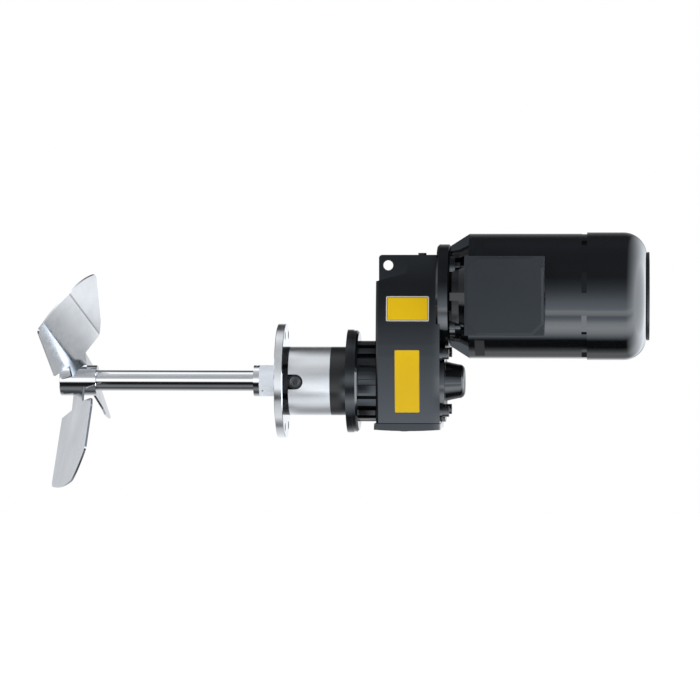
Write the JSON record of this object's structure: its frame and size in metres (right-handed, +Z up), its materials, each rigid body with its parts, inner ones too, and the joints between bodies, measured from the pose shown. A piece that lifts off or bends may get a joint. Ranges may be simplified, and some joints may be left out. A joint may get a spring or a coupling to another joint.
{
  "type": "side entry tank mixer",
  "caption": "Side entry tank mixer: bladed impeller on an overhung shaft, seal pedestal with a bolting flange, offset gear unit and fan-cooled flange motor.",
  "frame": {"origin": "centre of the tank flange's tank-side face, on the mixer shaft's axis", "axes": "+X along the mixer shaft from the impeller to the motor, +Z up; the terminal box faces -Y"},
  "size_m": [0.9292, 0.3116, 0.3973],
  "materials": {
    "polished_steel": "polished stainless steel",
    "satin_steel": "satin stainless steel",
    "satin_alloy": "satin cast and turned alloy",
    "charcoal_paint": "glossy charcoal paint",
    "black_coating": "black coated metal",
    "cap_plastic": "glossy black moulding",
    "box_plastic": "matt dark grey moulding",
    "grille_plastic": "matt black guard",
    "white_ptfe": "white low-friction plastic",
    "carbon": "lapped carbon",
    "seal_rubber": "nitrile rubber",
    "black_screw": "blackened steel",
    "gear_steel": "ground gear steel",
    "bearing_steel": "bearing steel",
    "core_steel": "laminated electrical steel",
    "copper": "varnished copper wire",
    "block_plastic": "moulded insulating block",
    "fan_plastic": "moulded fan"
  },
  "bodies": {
    "housing": {"tank_flange": "satin_steel", "pedestal_housing": "satin_alloy", "seal_seat": "carbon", "lip_seal": "seal_rubber", "seal_gland": "black_coating", "flush_port_plugs": "black_screw", "pedestal_adapter": "charcoal_paint", "pedestal_tie_screws": "black_screw", "adapter_screws": "black_screw", "pedestal_bearing_outer": "bearing_steel", "gearcase": "charcoal_paint", "breather_plug": "black_screw", "drain_plug": "black_screw", "rear_cover": "charcoal_paint", "cover_screws": "black_screw", "shaft_cap": "cap_plastic", "oil_seals": "seal_rubber", "output_bearing_outers": "bearing_steel", "layshaft_bearing_outers": "bearing_steel", "input_flange": "charcoal_paint", "input_flange_screws": "black_screw", "input_oil_seal": "seal_rubber", "motor_bearing_outers": "bearing_steel", "motor_end_shield": "charcoal_paint", "motor_flange_screws": "black_screw", "stator_housing": "charcoal_paint", "stator_core": "core_steel", "stator_windings": "copper", "rear_end_shield": "charcoal_paint", "fan_cowl": "charcoal_paint", "fan_grille": "grille_plastic", "terminal_box": "box_plastic", "terminal_gasket": "seal_rubber", "terminal_cover": "box_plastic", "terminal_block": "block_plastic", "cable_entry_plugs": "grille_plastic"},
    "output": {"mixer_shaft": "polished_steel", "shaft_key": "gear_steel", "shaft_retainer": "gear_steel", "impeller_hub": "polished_steel", "blade_1": "polished_steel", "blade_2": "polished_steel", "blade_3": "polished_steel", "seal_collar": "polished_steel", "collar_screws": "polished_steel", "seal_sleeve": "white_ptfe", "pedestal_bearing_inner": "bearing_steel", "output_bearing_inners": "bearing_steel", "hollow_shaft": "gear_steel", "output_spacers": "gear_steel", "output_wheel": "gear_steel"},
    "layshaft": {"layshaft": "gear_steel", "layshaft_wheel": "gear_steel", "layshaft_bearing_inners": "bearing_steel"},
    "rotor": {"motor_shaft": "gear_steel", "rotor_core": "core_steel", "motor_bearing_inners": "bearing_steel", "cooling_fan": "fan_plastic"}
  },
  "joints": [
    {"name": "output_spin", "type": "hinge", "parent": "housing", "child": "output", "pos_m": [0, 0, 0], "axis": [1, 0, 0], "continuous": true},
    {"name": "layshaft_spin", "type": "hinge", "parent": "housing", "child": "layshaft", "pos_m": [0, 0.01349, 0.07123], "axis": [1, 0, 0], "continuous": true},
    {"name": "rotor_spin", "type": "hinge", "parent": "housing", "child": "rotor", "pos_m": [0, 0, 0.13175], "axis": [1, 0, 0], "continuous": true}
  ],
  "couplings": [
    {"joint": "layshaft_spin", "follows": "output_spin", "ratio": -2.4118},
    {"joint": "rotor_spin", "follows": "output_spin", "ratio": 5.4582}
  ]
}
